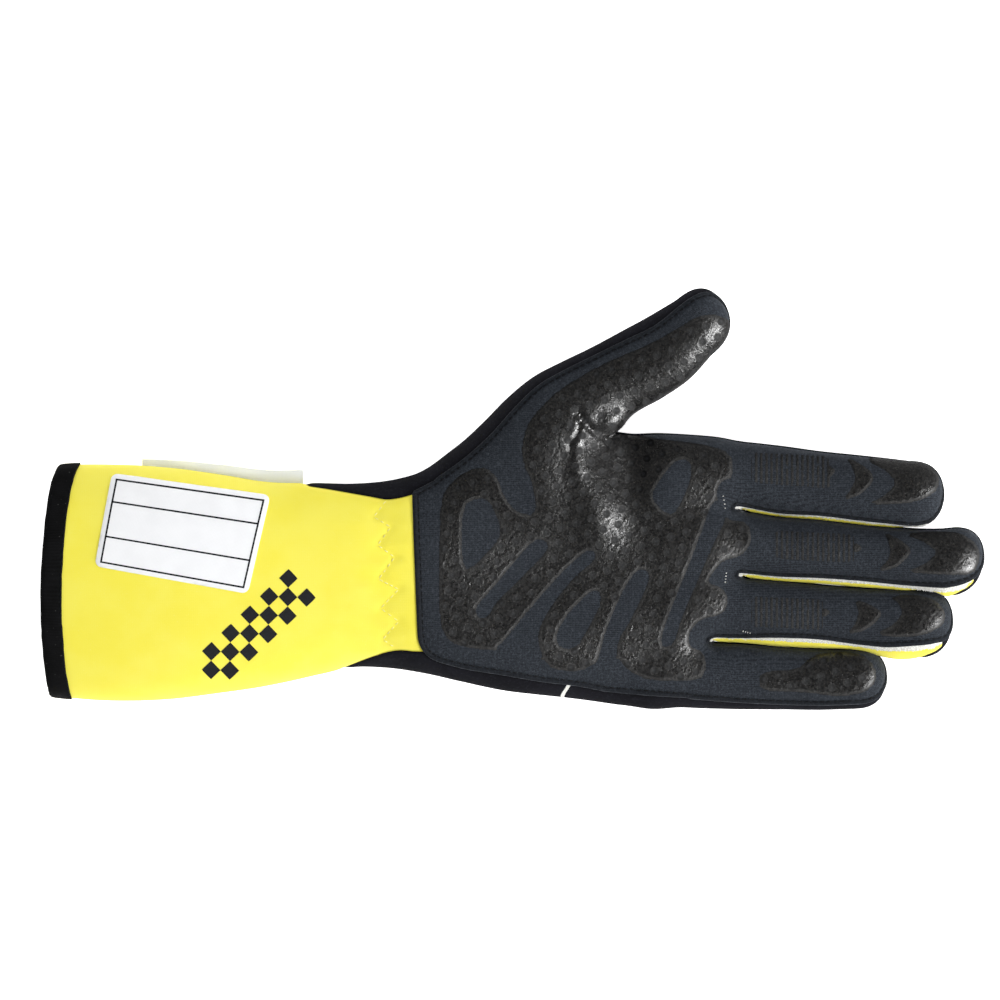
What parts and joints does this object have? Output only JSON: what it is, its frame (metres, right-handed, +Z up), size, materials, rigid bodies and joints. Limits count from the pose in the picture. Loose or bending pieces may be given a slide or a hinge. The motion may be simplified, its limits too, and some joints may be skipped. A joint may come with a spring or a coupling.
{
  "type": "racing glove",
  "caption": "Left-hand racing glove with a long flared gauntlet, knitted palm with grip print, finger fourchettes and a bound hem; hollow and open at the wrist.",
  "frame": {"origin": "on the surface it lies on, under the middle of the glove's bounding box", "axes": "+X from the gauntlet's opening to the fingertips, +Y to the thumb, +Z up, out of the palm side, with the glove lying on its back"},
  "size_m": [0.3194, 0.1429, 0.0428],
  "materials": {
    "palm_knit": "matt ribbed knit with a dark silicone grip print",
    "back_cloth": "matt plain cloth",
    "gauntlet_cloth": "matt fluorescent yellow knit",
    "hem_binding": "matt stretch binding",
    "white_patch": "matt woven tape"
  },
  "bodies": {
    "root": {"palm_panel": "palm_knit", "back_panel": "back_cloth", "fourchette_index_middle": "gauntlet_cloth", "fourchette_middle_ring": "gauntlet_cloth", "fourchette_ring_little": "gauntlet_cloth", "gauntlet": "gauntlet_cloth", "cuff_hem": "hem_binding", "label_patch": "white_patch", "side_tag": "white_patch"}
  },
  "joints": []
}
